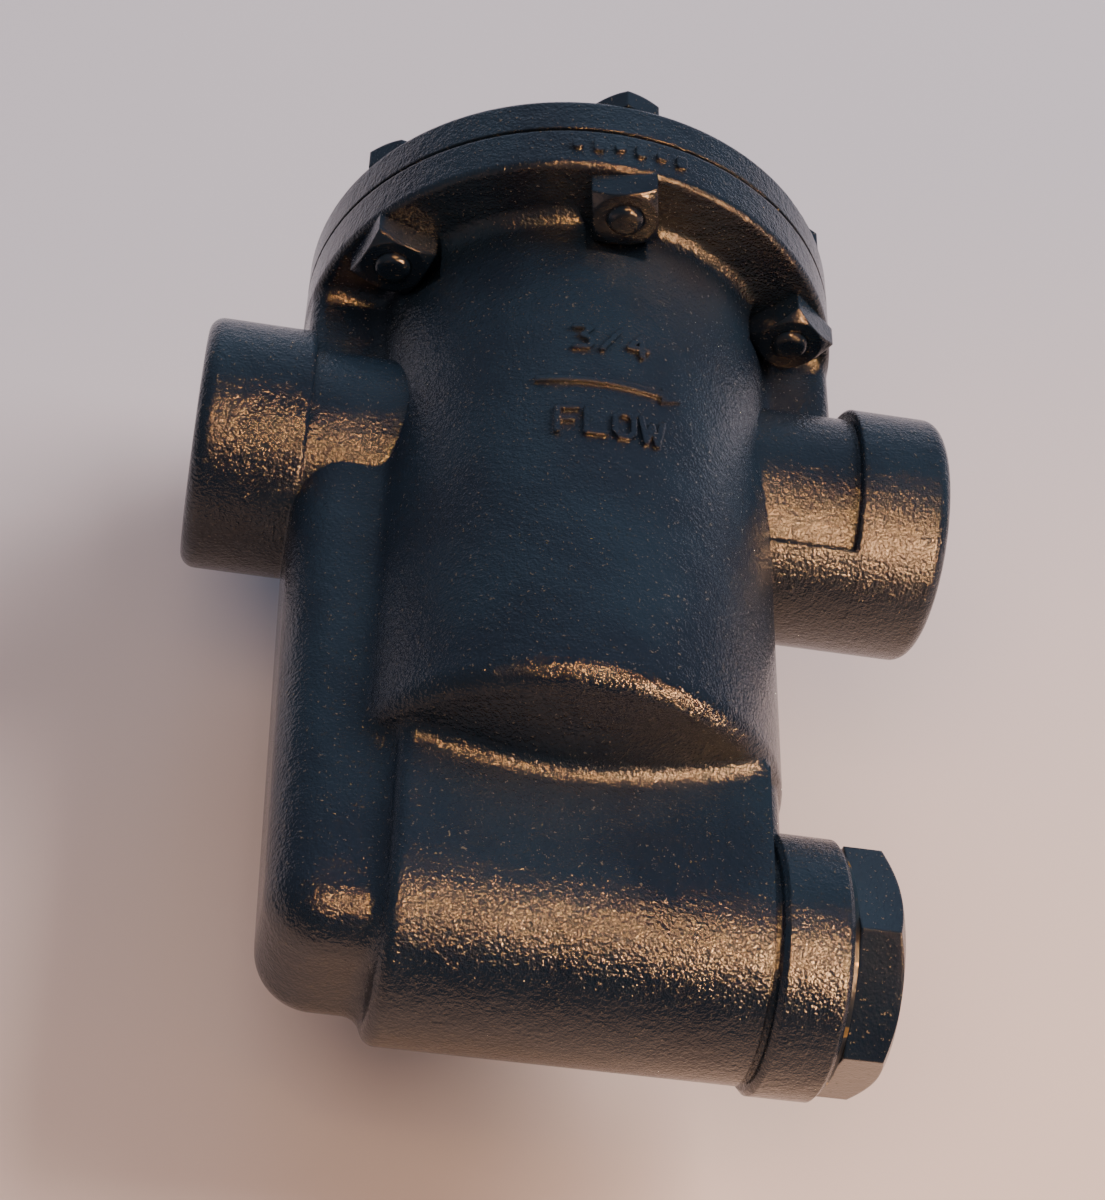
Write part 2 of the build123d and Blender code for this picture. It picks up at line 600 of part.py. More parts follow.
# ---------------------------------------------------------------- cap and its gasket
with BuildPart() as cap:
    with BuildSketch(level(CAP_UNDER_Z)):
        Circle(FLANGE_R)
    extrude(amount=CAP_THICK)
    fillet(cap.edges().group_by(Axis.Z)[-1], 1.4)
    # raised pad in the middle and the ridge over the discharge channel
    with BuildSketch(level(CAP_TOP_Z - 0.5)):
        with Locations((SEAT_X - AXIS_X, 0)):
            Circle(CAP_PAD_R)
        with Locations((POST_PASSAGE_OUT / 2 + 4, 0)):
            SlotOverall(POST_PASSAGE_OUT, 2 * RIDGE_HALF_WIDTH)
    extrude(amount=CAP_PAD_HEIGHT + 0.5)
    fillet(cap.edges().group_by(Axis.Z)[-1], 2.2)
    fillet(cap.edges().filter_by(on_cap_top), 1.2)
    # plug that drops into the chamber mouth, with the boss that takes the valve seat
    with BuildSketch(level(CAP_UNDER_Z)):
        Circle(CAP_PLUG_R)
    extrude(amount=-CAP_PLUG_DEPTH)
    with BuildSketch(level(CAP_UNDER_Z)):
        with Locations((SEAT_X - AXIS_X, 0)):
            Circle(SEAT_BOSS_R)
            with Locations((BRACKET_SCREW_OUT - SEAT_X + AXIS_X, 0)):
                Rectangle(7, 2 * BRACKET_HALF_WIDTH)
    extrude(amount=-SEAT_BOSS_DEPTH)
    with Locations(*bolt_points(CAP_TOP_Z)):
        Hole(BOLT_HOLE_R, depth=CAP_THICK)
    # discharge channel: up from the seat, across to the post, and down to the body
    with BuildSketch(across(SEAT_X, CHANNEL_Z)):
        Circle(CHANNEL_R)
    extrude(amount=AXIS_X + POST_PASSAGE_OUT - SEAT_X, mode=Mode.SUBTRACT)
    with BuildSketch(level(CAP_UNDER_Z, AXIS_X + POST_PASSAGE_OUT)):
        Circle(CHANNEL_R)
    extrude(amount=CHANNEL_Z - CAP_UNDER_Z, mode=Mode.SUBTRACT)
    with BuildSketch(level(CHANNEL_Z, SEAT_X)):
        Circle(CHANNEL_R)
    extrude(amount=SEAT_FACE_Z - CHANNEL_Z, mode=Mode.SUBTRACT)
    # threaded holes for the valve seat, the test plug and the bracket screws
    with BuildSketch(level(SEAT_FACE_Z, SEAT_X)):
        Circle(SEAT_THREAD_R + THREAD_GAP)
    extrude(amount=SEAT_THREAD_LENGTH, mode=Mode.SUBTRACT)
    with BuildSketch(level(CAP_TOP_Z + CAP_PAD_HEIGHT, SEAT_X)):
        Circle(TEST_PLUG_R + THREAD_GAP)
    extrude(amount=-(CAP_TOP_Z + CAP_PAD_HEIGHT - CHANNEL_Z), mode=Mode.SUBTRACT)
    with BuildSketch(level(SEAT_FACE_Z, AXIS_X + BRACKET_SCREW_OUT)):
        with GridLocations(0, BRACKET_SCREW_SPACING, 1, 2):
            Circle(BRACKET_SCREW_R + THREAD_GAP)
    extrude(amount=BRACKET_SCREW_DEPTH + 0.5, mode=Mode.SUBTRACT)
finish(cap.part, "cap")

with BuildPart() as cap_gasket:
    with BuildSketch(level(PARTING_Z)):
        Circle(FLANGE_R - 0.7)
        Circle(CAVITY_R, mode=Mode.SUBTRACT)
        with Locations((POST_PASSAGE_OUT, 0)):
            Circle(POST_PASSAGE_R, mode=Mode.SUBTRACT)
    extrude(amount=GASKET_THICK)
    with Locations(*bolt_points(CAP_UNDER_Z)):
        Hole(BOLT_HOLE_R, depth=GASKET_THICK)
finish(cap_gasket.part, "cap_gasket")

# ---------------------------------------------------------------- cap bolts and nuts
shank_foot_z = FLANGE_UNDER_Z - NUT_THICK - BOLT_TIP_OUT
with BuildPart() as bolt_pattern_piece:
    with BuildSketch(level(shank_foot_z, 0)):
        Circle(BOLT_R)
    extrude(amount=CAP_TOP_Z - shank_foot_z)
    fillet(bolt_pattern_piece.edges().group_by(Axis.Z)[0], 1.3)
    with BuildSketch(level(CAP_TOP_Z, 0)):
        RegularPolygon(BOLT_HEAD_AF / 2, 6, major_radius=False)
    extrude(amount=BOLT_HEAD_THICK)
    with BuildSketch(Plane.XZ):
        add(corner_trim(BOLT_HEAD_AF, CAP_TOP_Z + BOLT_HEAD_THICK, -1))
    revolve(axis=Axis.Z, mode=Mode.SUBTRACT)

with BuildPart() as nut_pattern_piece:
    with BuildSketch(level(FLANGE_UNDER_Z, 0)):
        Rectangle(NUT_AF, NUT_AF)
        Circle(BOLT_R + THREAD_GAP, mode=Mode.SUBTRACT)
    extrude(amount=-NUT_THICK)
    with BuildSketch(Plane.XZ):
        add(corner_trim(NUT_AF, FLANGE_UNDER_Z - NUT_THICK, 1))
    revolve(axis=Axis.Z, mode=Mode.SUBTRACT)

with BuildPart() as cap_bolts:
    for place in bolt_points(0):
        add(bolt_pattern_piece.part.moved(place * Rot(Z=BOLT_HEAD_TURN)))
finish(cap_bolts.part, "cap_bolts")

with BuildPart() as cap_nuts:
    for place, turn in zip(bolt_points(0), NUT_TURNS):
        add(nut_pattern_piece.part.moved(place * Rot(Z=turn)))
finish(cap_nuts.part, "cap_nuts")

# ---------------------------------------------------------------- test plug on the cap
with BuildPart() as test_plug:
    top = CAP_TOP_Z + CAP_PAD_HEIGHT
    with BuildSketch(level(top - TEST_PLUG_LENGTH, SEAT_X)):
        Circle(TEST_PLUG_R)
    extrude(amount=TEST_PLUG_LENGTH + 0.8)
    with BuildSketch(level(top + 0.8, SEAT_X, turn=20)):
        RectangleRounded(TEST_PLUG_SQUARE, TEST_PLUG_SQUARE, 0.6)
    extrude(amount=TEST_PLUG_SQUARE_HEIGHT)
    chamfer(test_plug.edges().group_by(Axis.Z)[-1], 0.5)
finish(test_plug.part, "test_plug")

# ---------------------------------------------------------------- valve seat
with BuildPart() as valve_seat:
    with BuildSketch(level(SEAT_FACE_Z, SEAT_X)):
        Circle(SEAT_THREAD_R)
    extrude(amount=SEAT_THREAD_LENGTH - 0.5)
    with BuildSketch(level(SEAT_FACE_Z, SEAT_X)):
        Circle(SEAT_THREAD_R)
    extrude(amount=-BRACKET_THICK)
    with BuildSketch(level(SEAT_FACE_Z - BRACKET_THICK, SEAT_X)):
        RegularPolygon(SEAT_HEX_AF / 2, 6, rotation=30, major_radius=False)
    extrude(amount=-SEAT_HEX_THICK)
    nozzle_top_z = SEAT_FACE_Z - BRACKET_THICK - SEAT_HEX_THICK
    with BuildSketch(level(nozzle_top_z, SEAT_X)):
        Circle(SEAT_NOZZLE_R)
    extrude(amount=-SEAT_NOZZLE_LENGTH, taper=12)
    with BuildSketch(level(nozzle_top_z - SEAT_NOZZLE_LENGTH, SEAT_X)):
        Circle(ORIFICE_R)
    extrude(amount=30, mode=Mode.SUBTRACT)
    with BuildSketch(level(nozzle_top_z + 1.5, SEAT_X)):
        Circle(SEAT_BORE_R)
    extrude(amount=30, mode=Mode.SUBTRACT)
finish(valve_seat.part, "valve_seat")

# ---------------------------------------------------------------- pivot bracket, its screws and pin
with BuildPart() as pivot_bracket:
    with BuildSketch(level(BRACKET_FOOT_Z, AXIS_X + BRACKET_OUTER - BRACKET_LENGTH / 2)):
        Rectangle(BRACKET_LENGTH, 2 * BRACKET_HALF_WIDTH)
    extrude(amount=BRACKET_THICK)
    with BuildSketch(side(0)):
        with BuildLine():
            Polyline(
                (-PIVOT_OUT - EAR_HALF_LENGTH, BRACKET_FOOT_Z + BRACKET_THICK),
                (-PIVOT_OUT - EAR_HALF_LENGTH, PIVOT_Z - EAR_HALF_LENGTH),
                (-PIVOT_OUT + EAR_HALF_LENGTH, PIVOT_Z - EAR_HALF_LENGTH),
                (-PIVOT_OUT + EAR_HALF_LENGTH, BRACKET_FOOT_Z + BRACKET_THICK), close=True,
            )
        make_face()
    extrude(amount=BRACKET_HALF_WIDTH, both=True)
    with BuildSketch(level(PIVOT_Z - EAR_HALF_LENGTH - 1, PIVOT_X)):
        Rectangle(4 * EAR_HALF_LENGTH, 2 * EAR_INNER_Y)
    extrude(amount=BRACKET_FOOT_Z - PIVOT_Z + EAR_HALF_LENGTH + 1, mode=Mode.SUBTRACT)
    ends = pivot_bracket.edges().filter_by(Axis.Y).filter_by(
        lambda e: e.center().Z < PIVOT_Z - EAR_HALF_LENGTH + 0.01)
    fillet(ends, EAR_HALF_LENGTH - 0.4)
    with BuildSketch(side(0)):
        with Locations((-PIVOT_OUT, PIVOT_Z)):
            Circle(PIVOT_PIN_R + PIN_GAP)
    extrude(amount=2 * BRACKET_HALF_WIDTH, both=True, mode=Mode.SUBTRACT)
    with BuildSketch(level(BRACKET_FOOT_Z)):
        with Locations((SEAT_X - AXIS_X, 0)):
            Circle(SEAT_THREAD_R + THREAD_GAP)
        with Locations((BRACKET_SCREW_OUT, 0)):
            with GridLocations(0, BRACKET_SCREW_SPACING, 1, 2):
                Circle(BRACKET_SCREW_R + THREAD_GAP)
    extrude(amount=BRACKET_THICK, mode=Mode.SUBTRACT)
finish(pivot_bracket.part, "pivot_bracket")

with BuildPart() as bracket_screws:
    with BuildSketch(level(BRACKET_FOOT_Z, AXIS_X + BRACKET_SCREW_OUT)):
        with GridLocations(0, BRACKET_SCREW_SPACING, 1, 2):
            Circle(BRACKET_SCREW_R)
    extrude(amount=BRACKET_THICK + BRACKET_SCREW_DEPTH)
    with BuildSketch(level(BRACKET_FOOT_Z, AXIS_X + BRACKET_SCREW_OUT)):
        with GridLocations(0, BRACKET_SCREW_SPACING, 1, 2):
            Circle(BRACKET_SCREW_R * 1.8)
    extrude(amount=-BRACKET_SCREW_R * 1.2)
    with BuildSketch(level(BRACKET_FOOT_Z - BRACKET_SCREW_R * 1.2, AXIS_X + BRACKET_SCREW_OUT)):
        with GridLocations(0, BRACKET_SCREW_SPACING, 1, 2):
            Rectangle(4 * BRACKET_SCREW_R, 0.6)
    extrude(amount=0.7, mode=Mode.SUBTRACT)
finish(bracket_screws.part, "bracket_screws")

with BuildPart() as pivot_pin:
    reach = BRACKET_HALF_WIDTH + PIN_CLIP_THICK + 0.9
    with BuildSketch(side(0, PIVOT_X, PIVOT_Z)):
        Circle(PIVOT_PIN_R)
    extrude(amount=reach, both=True)
    chamfer(pivot_pin.edges().group_by(Axis.Y)[0] + pivot_pin.edges().group_by(Axis.Y)[-1], 0.3)
finish(pivot_pin.part, "pivot_pin")

with BuildPart() as pivot_clips:
    for face in (-BRACKET_HALF_WIDTH - PIN_CLIP_THICK, BRACKET_HALF_WIDTH):
        with BuildSketch(side(face, PIVOT_X, PIVOT_Z)):
            Circle(PIN_CLIP_R)
            Circle(PIVOT_PIN_R, mode=Mode.SUBTRACT)
            with Locations((0, PIN_CLIP_R)):
                Rectangle(PIVOT_PIN_R * 1.2, 2 * PIN_CLIP_R, mode=Mode.SUBTRACT)
        extrude(amount=PIN_CLIP_THICK)
finish(pivot_clips.part, "pivot_clips")

# ---------------------------------------------------------------- lever and valve
with BuildPart() as valve_lever:
    with BuildSketch(level(PIVOT_Z - LEVER_THICK / 2, AXIS_X + PIVOT_OUT / 2)):
        Rectangle(PIVOT_OUT, LEVER_WIDTH)
    extrude(amount=LEVER_THICK)
    with BuildSketch(side(0, PIVOT_X, PIVOT_Z)):
        Circle(LEVER_HUB_R)
    extrude(amount=EAR_INNER_Y - LEVER_SIDE_GAP, both=True)
    with BuildSketch(side(0, AXIS_X, PIVOT_Z)):
        Circle(LEVER_HUB_R)
    extrude(amount=LEVER_HUB_HALF, both=True)
    with BuildSketch(side(0, AXIS_X, PIVOT_Z)):
        Circle(HANGER_PIN_R + PIN_GAP)
        with Locations((-PIVOT_OUT, 0)):
            Circle(PIVOT_PIN_R + PIN_GAP)
    extrude(amount=BRACKET_HALF_WIDTH, both=True, mode=Mode.SUBTRACT)
    with BuildSketch(level(PIVOT_Z - LEVER_HUB_R, VALVE_X)):
        Circle(VALVE_SHANK_R)
    extrude(amount=2 * LEVER_HUB_R, mode=Mode.SUBTRACT)
    with BuildSketch(level(PIVOT_Z + LEVER_THICK / 2, VALVE_X)):
        Circle(VALVE_HEAD_R + 0.4)
    extrude(amount=LEVER_HUB_R, mode=Mode.SUBTRACT)
    with BuildSketch(level(PIVOT_Z - LEVER_THICK / 2, VALVE_X)):
        Circle(VALVE_NUT_R + 0.4)
    extrude(amount=-LEVER_HUB_R, mode=Mode.SUBTRACT)
finish(valve_lever.part, "valve_lever")

with BuildPart() as valve:
    head_foot = LEVER_THICK / 2
    base_top = head_foot + 0.5
    shank_foot = -LEVER_THICK / 2 - VALVE_NUT_THICK - 0.5
    with BuildSketch(Plane(origin=(VALVE_X, 0, PIVOT_Z), x_dir=(1, 0, 0), z_dir=(0, -1, 0))):
        with BuildLine():
            Line((0, VALVE_TOP_RISE), (0, shank_foot))
            Line((0, shank_foot), (VALVE_SHANK_R, shank_foot))
            Line((VALVE_SHANK_R, shank_foot), (VALVE_SHANK_R, head_foot))
            Line((VALVE_SHANK_R, head_foot), (VALVE_HEAD_R, head_foot))
            Line((VALVE_HEAD_R, head_foot), (VALVE_HEAD_R, base_top))
            TangentArc((0, VALVE_TOP_RISE), (VALVE_HEAD_R, base_top), tangent=(1, 0))
        make_face()
    revolve(axis=Axis((VALVE_X, 0, 0), (0, 0, 1)))
finish(valve.part, "valve")

with BuildPart() as valve_nut:
    with BuildSketch(level(PIVOT_Z - LEVER_THICK / 2, VALVE_X)):
        RegularPolygon(VALVE_NUT_R, 6)
        Circle(VALVE_SHANK_R, mode=Mode.SUBTRACT)
    extrude(amount=-VALVE_NUT_THICK)
finish(valve_nut.part, "valve_nut")

# ---------------------------------------------------------------- bucket and its hanger
with BuildPart() as bucket:
    with BuildSketch(level(BUCKET_RIM_Z)):
        Circle(BUCKET_R)
    extrude(amount=BUCKET_HEIGHT)
    fillet(bucket.edges().group_by(Axis.Z)[-1], BUCKET_CROWN_ROUND)
    offset(amount=-BUCKET_WALL, openings=bucket.faces().sort_by(Axis.Z)[0])
    with BuildSketch(BODY_SECTION):
        with Locations((BUCKET_R, BUCKET_RIM_Z + BUCKET_BEAD_R)):
            Circle(BUCKET_BEAD_R)
    revolve(axis=BODY_AXIS)
    with BuildSketch(level(BUCKET_TOP_Z)):
        Circle(RIVET_R)
        with Locations((-VENT_OFFSET, 0)):
            Circle(VENT_R)
    extrude(amount=-2 * BUCKET_WALL, mode=Mode.SUBTRACT)
finish(bucket.part, "bucket")

with BuildPart() as bucket_clip:
    ear_top = BUCKET_HANG + CLIP_EAR_RISE
    with BuildSketch(level(BUCKET_TOP_Z)):
        Rectangle(2 * CLIP_HALF_LENGTH, 2 * CLIP_OUTER_Y)
    extrude(amount=ear_top)
    with BuildSketch(level(BUCKET_TOP_Z + CLIP_THICK)):
        Rectangle(2 * CLIP_HALF_LENGTH, 2 * CLIP_INNER_Y)
    extrude(amount=ear_top, mode=Mode.SUBTRACT)
    tops = bucket_clip.edges().filter_by(Axis.Y).group_by(Axis.Z)[-1]
    fillet(tops, CLIP_HALF_LENGTH - 0.5)
    with BuildSketch(side(0, AXIS_X, PIVOT_Z)):
        Circle(HANGER_PIN_R)
    extrude(amount=CLIP_OUTER_Y, both=True, mode=Mode.SUBTRACT)
    with BuildSketch(level(BUCKET_TOP_Z)):
        Circle(RIVET_R)
    extrude(amount=CLIP_THICK, mode=Mode.SUBTRACT)
finish(bucket_clip.part, "bucket_clip")

with BuildPart() as hanger_pin:
    with BuildSketch(side(0, AXIS_X, PIVOT_Z)):
        Circle(HANGER_PIN_R)
    extrude(amount=CLIP_OUTER_Y + 0.6, both=True)
finish(hanger_pin.part, "hanger_pin")

with BuildPart() as clip_rivet:
    with BuildSketch(level(BUCKET_TOP_Z - BUCKET_WALL - RIVET_HEAD_THICK)):
        Circle(RIVET_HEAD_R)
    extrude(amount=RIVET_HEAD_THICK)
    with BuildSketch(level(BUCKET_TOP_Z - BUCKET_WALL)):
        Circle(RIVET_R)
    extrude(amount=BUCKET_WALL + CLIP_THICK)
    with BuildSketch(level(BUCKET_TOP_Z + CLIP_THICK)):
        Circle(RIVET_HEAD_R)
    extrude(amount=RIVET_HEAD_THICK)
    heads = clip_rivet.edges().group_by(Axis.Z)
    fillet(heads[0] + heads[-1], RIVET_HEAD_THICK * 0.6)
finish(clip_rivet.part, "clip_rivet")

# ---------------------------------------------------------------- strainer plug, gasket and screen
with BuildPart() as strainer_plug:
    hex_plane = Plane(
        origin=(PLUG_HEX_X, 0, STRAINER_Z),
        x_dir=(0, cos(radians(PLUG_HEX_TURN)), sin(radians(PLUG_HEX_TURN))), z_dir=(1, 0, 0))
    with BuildSketch(hex_plane):
        RegularPolygon(PLUG_HEX_AF / 2, 6, major_radius=False)
    extrude(amount=PLUG_HEX_THICK)
    with BuildSketch(Plane(origin=(PLUG_HEX_X, 0, STRAINER_Z), x_dir=(0, 0, 1), z_dir=(0, 1, 0))):
        add(corner_trim(PLUG_HEX_AF, PLUG_HEX_THICK, -1))
    revolve(axis=STRAINER_AXIS, mode=Mode.SUBTRACT)
    with BuildSketch(across(PLUG_HEX_X, STRAINER_Z)):
        Circle(PLUG_THREAD_R)
    extrude(amount=-PLUG_GASKET_THICK - PLUG_THREAD_LENGTH)
    with BuildSketch(across(COLLAR_FACE_X - PLUG_THREAD_LENGTH, STRAINER_Z)):
        Circle(SCREEN_R + SCREEN_BAND_THICK + SCREEN_GAP)
    extrude(amount=SCREEN_SEAT_DEPTH, mode=Mode.SUBTRACT)
    with BuildSketch(across(COLLAR_FACE_X - PLUG_THREAD_LENGTH, STRAINER_Z)):
        Circle(SCREEN_R - SCREEN_WALL - 1)
    extrude(amount=PLUG_THREAD_LENGTH + PLUG_HEX_THICK / 2, mode=Mode.SUBTRACT)
finish(strainer_plug.part, "strainer_plug")

with BuildPart() as plug_gasket:
    with BuildSketch(across(COLLAR_FACE_X, STRAINER_Z)):
        Circle(PLUG_THREAD_R + PLUG_GASKET_WIDTH)
        Circle(PLUG_THREAD_R + THREAD_GAP, mode=Mode.SUBTRACT)
    extrude(amount=PLUG_GASKET_THICK)
finish(plug_gasket.part, "plug_gasket")

with BuildPart() as strainer_screen:
    screen_length = SCREEN_RIGHT_X - SCREEN_LEFT_X - 2 * SCREEN_GAP
    with BuildSketch(across(SCREEN_LEFT_X + SCREEN_GAP, STRAINER_Z)):
        Circle(SCREEN_R)
        Circle(SCREEN_R - SCREEN_WALL, mode=Mode.SUBTRACT)
    extrude(amount=screen_length)
    pitch = (screen_length - 2 * SCREEN_BAND_WIDTH) / SCREEN_HOLE_ROWS
    for row in range(SCREEN_HOLE_ROWS):
        x = SCREEN_LEFT_X + SCREEN_GAP + SCREEN_BAND_WIDTH + pitch * (row + 0.5)
        for spoke in range(SCREEN_HOLES_ROUND // 2):
            turn = 360 / SCREEN_HOLES_ROUND * (spoke + 0.5 * (row % 2))
            out = Vector(0, cos(radians(turn)), sin(radians(turn)))
            with BuildSketch(Plane(origin=(x, 0, STRAINER_Z), x_dir=(1, 0, 0), z_dir=out)):
                Circle(SCREEN_HOLE_R)
            extrude(amount=2 * SCREEN_R, both=True, mode=Mode.SUBTRACT)
finish(strainer_screen.part, "strainer_screen")

with BuildPart() as screen_bands:
    for x in (SCREEN_LEFT_X + SCREEN_GAP, SCREEN_RIGHT_X - SCREEN_GAP - SCREEN_BAND_WIDTH):
        with BuildSketch(across(x, STRAINER_Z)):
            Circle(SCREEN_R + SCREEN_BAND_THICK)
            Circle(SCREEN_R, mode=Mode.SUBTRACT)
        extrude(amount=SCREEN_BAND_WIDTH)
finish(screen_bands.part, "screen_bands")
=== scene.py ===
import json
from math import cos, pi, radians, sin

import bmesh
import bpy
from mathutils import Matrix, Vector


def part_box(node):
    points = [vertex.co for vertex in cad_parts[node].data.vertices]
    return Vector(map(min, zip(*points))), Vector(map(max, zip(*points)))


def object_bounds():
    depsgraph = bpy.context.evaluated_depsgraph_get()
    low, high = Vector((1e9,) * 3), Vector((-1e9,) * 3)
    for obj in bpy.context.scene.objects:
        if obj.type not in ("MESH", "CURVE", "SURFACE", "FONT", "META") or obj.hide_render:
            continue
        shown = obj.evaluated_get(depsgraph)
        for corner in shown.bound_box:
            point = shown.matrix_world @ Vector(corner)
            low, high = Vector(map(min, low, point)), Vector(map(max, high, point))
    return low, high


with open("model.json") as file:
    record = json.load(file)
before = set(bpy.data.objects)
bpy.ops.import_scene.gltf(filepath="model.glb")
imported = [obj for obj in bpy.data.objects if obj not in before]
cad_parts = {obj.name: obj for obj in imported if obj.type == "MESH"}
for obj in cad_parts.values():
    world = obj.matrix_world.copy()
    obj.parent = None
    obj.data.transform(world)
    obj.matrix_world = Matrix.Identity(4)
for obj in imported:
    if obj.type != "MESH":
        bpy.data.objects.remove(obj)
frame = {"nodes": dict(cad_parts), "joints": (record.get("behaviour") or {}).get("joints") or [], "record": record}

cad_low, cad_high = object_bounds()

# ---------------------------------------------------------------- sizes, in metres
port_pitch = 0.0018
plug_pitch = 0.0022
thread_depth = 0.0007
turned_collar_length = 0.0109
turned_boss_length = 0.0150
tool_mark_depth = 0.00009
edge_softness = 0.0006
sharp_fade = 0.0001
turned_fade = 0.0005
table_gap = 0.0006
table_half = 2.5

# ---------------------------------------------------------------- places, from the frame
ports = {mount["name"]: mount for mount in frame["record"]["mounts"]}
joints = {joint["name"]: joint for joint in frame["joints"]}

outlet = Vector(ports["outlet"]["pos_m"])
pipe_middle = (Vector(ports["inlet"]["pos_m"]) + outlet) / 2
port_radius = ports["outlet"]["dims"]["r_mm"] / 1000
port_depth = ports["outlet"]["dims"]["length_mm"] / 1000

# the strainer's axis, where the plug's hexagon meets its gasket
hexagon_face = Vector(joints["plug_turn"]["pos_m"])
gasket_low, gasket_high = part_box("plug_gasket")
gasket_radius = (gasket_high.z - gasket_low.z) / 2

# the collar is the lowest thing on the trap, and as far above the strainer's axis as below it
collar_back = gasket_low.x - turned_collar_length
collar_top = 2 * hexagon_face.z - cad_low[2]
boss_back = outlet.x - turned_boss_length

chamber_middle = pipe_middle + Vector((0.0, 0.0, -0.03))
housing_front = Vector((pipe_middle.x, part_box("strainer_plug")[0].y, hexagon_face.z))
boss_front = outlet + Vector((-0.007, -0.02, 0.0))


# ---------------------------------------------------------------- shader building
class Socket:
    """A shader output that Python arithmetic works on; every operation adds a Math node."""

    def __init__(self, graph, output):
        self.graph = graph
        self.output = output

    def maths(self, operation, *others):
        node = self.graph.nodes.new("ShaderNodeMath")
        node.operation = operation
        for place, value in enumerate((self, *others)):
            self.graph.feed(node.inputs[place], value)
        return Socket(self.graph, node.outputs[0])

    def __add__(self, other):
        return self.maths("ADD", other)

    def __sub__(self, other):
        return self.maths("SUBTRACT", other)

    def __mul__(self, other):
        return self.maths("MULTIPLY", other)

    def __pow__(self, other):
        return self.maths("POWER", other)

    def __radd__(self, other):
        return self.maths("ADD", other)

    def __rmul__(self, other):
        return self.maths("MULTIPLY", other)

    def __rsub__(self, other):
        return (self * -1.0).maths("ADD", other)

    def step(self, low, high):
        """Smooth rise from 0 at low to 1 at high."""
        return self.graph.node("ShaderNodeMapRange", {"interpolation_type": "SMOOTHSTEP"},
                               {"Value": self, "From Min": low, "From Max": high})


class Graph:
    """The node tree of one material."""

    def __init__(self, name):
        self.material = bpy.data.materials.new(name)
        self.material.use_nodes = True
        self.tree = self.material.node_tree
        self.nodes = self.tree.nodes
        self.shader = self.nodes["Principled BSDF"]
        self.place = self.node("ShaderNodeTexCoord", out="Object")

    def feed(self, entry, value):
        """Links a socket to an entry, or sets the entry's own value."""
        if isinstance(value, Socket):
            self.tree.links.new(value.output, entry)
        else:
            entry.default_value = value

    def node(self, kind, settings=None, values=None, out=0):
        """A node of that kind with its settings, then its entries by name or number."""
        made = self.nodes.new(kind)
        for name, value in (settings or {}).items():
            setattr(made, name, value)
        for name, value in (values or {}).items():
            self.feed(made.inputs[name], value)
        return Socket(self, made.outputs[out])

    def noise(self, scale, detail=2.0, stretch=(1, 1, 1), rough=0.5):
        """Noise with features 1/scale metres across, drawn out along an axis by stretch."""
        spot = self.node("ShaderNodeMapping", None, {"Vector": self.place, "Scale": stretch})
        return self.node("ShaderNodeTexNoise", None,
                         {"Vector": spot, "Scale": scale, "Detail": detail, "Roughness": rough})

    def axis(self, name):
        return self.node("ShaderNodeSeparateXYZ", None, {"Vector": self.place}, out=name)

    def colours(self, low, high, factor):
        """Colour low where factor is 0 and high where it is 1."""
        return self.node("ShaderNodeMix", {"data_type": "RGBA"}, {0: factor, 6: low, 7: high}, out=2)

    def bump(self, height, distance, strength=1.0, before=None):
        values = {"Height": height, "Distance": distance, "Strength": strength}
        if before:
            values["Normal"] = before
        return self.node("ShaderNodeBump", None, values)

    def finish(self, **values):
        """The material, with the main shader's entries filled in."""
        for name, value in values.items():
            self.feed(self.shader.inputs[name.replace("_", " ")], value)
        return self.material


def rgb(red, green, blue):
    return (red, green, blue, 1.0)


# ---------------------------------------------------------------- finishes
deep_enamel = rgb(0.0078, 0.0128, 0.0212)
light_enamel = rgb(0.0100, 0.0185, 0.0295)
dust = rgb(0.075, 0.062, 0.046)
bare_iron = rgb(0.095, 0.085, 0.075)


def enamel(name, cast_depth, peel_depth, smooth, wear, bare=None, lathe=None):
    """Dark teal gloss enamel; bare marks unpainted thread, lathe marks turned faces."""
    g = Graph(name)
    edges = g.node("ShaderNodeBevel", {"samples": 6}, {"Radius": edge_softness})
    cast = g.noise(1700, rough=0.6)
    patches = g.noise(45)
    specks = cast.step(0.66, 0.72) * wear
    relief = g.bump(cast, cast_depth, before=edges)
    relief = g.bump(g.noise(420), 1.6 * cast_depth, 0.6, before=relief)
    relief = g.bump(g.noise(2700), peel_depth, before=relief)
    base = g.colours(deep_enamel, light_enamel, patches.step(0.35, 0.65))
    base = g.colours(base, dust, specks)
    rough = smooth + 0.10 * patches + 0.3 * specks
    metal = 0.0
    if lathe:
        rings = g.noise(2100, 3.0, stretch=(1, 0.03, 0.03))
        relief = g.bump(rings * lathe(g), tool_mark_depth, before=relief)
    if bare:
        mask, ridges = bare(g)
        relief = g.bump(ridges * mask, thread_depth, before=relief)
        base = g.colours(base, bare_iron, mask)
        rough = rough + 0.22 * mask
        metal = 0.85 * mask
    return g.finish(Base_Color=base, Roughness=rough, Metallic=metal, Normal=relief)


def thread(g, radius, height, pitch):
    """Mask inside radius about a line along X at that height, and the ridges of a thread on it."""
    x, y, z = g.axis("X"), g.axis("Y"), g.axis("Z") - height
    out = (y * y + z * z) ** 0.5
    ridges = 0.5 + 0.5 * (x * (2 * pi / pitch) + y.maths("ARCTAN2", z)).maths("SINE")
    return 1.0 - out.step(radius + sharp_fade, radius + 2 * sharp_fade), ridges


def port_threads(g):
    """Tapped mouths at both ends of the body."""
    mask, ridges = thread(g, port_radius, outlet.z, port_pitch)
    reach = (g.axis("X") - pipe_middle.x).maths("ABSOLUTE")
    thread_end = outlet.x - pipe_middle.x - port_depth
    return mask * reach.step(thread_end - 2 * sharp_fade, thread_end), ridges


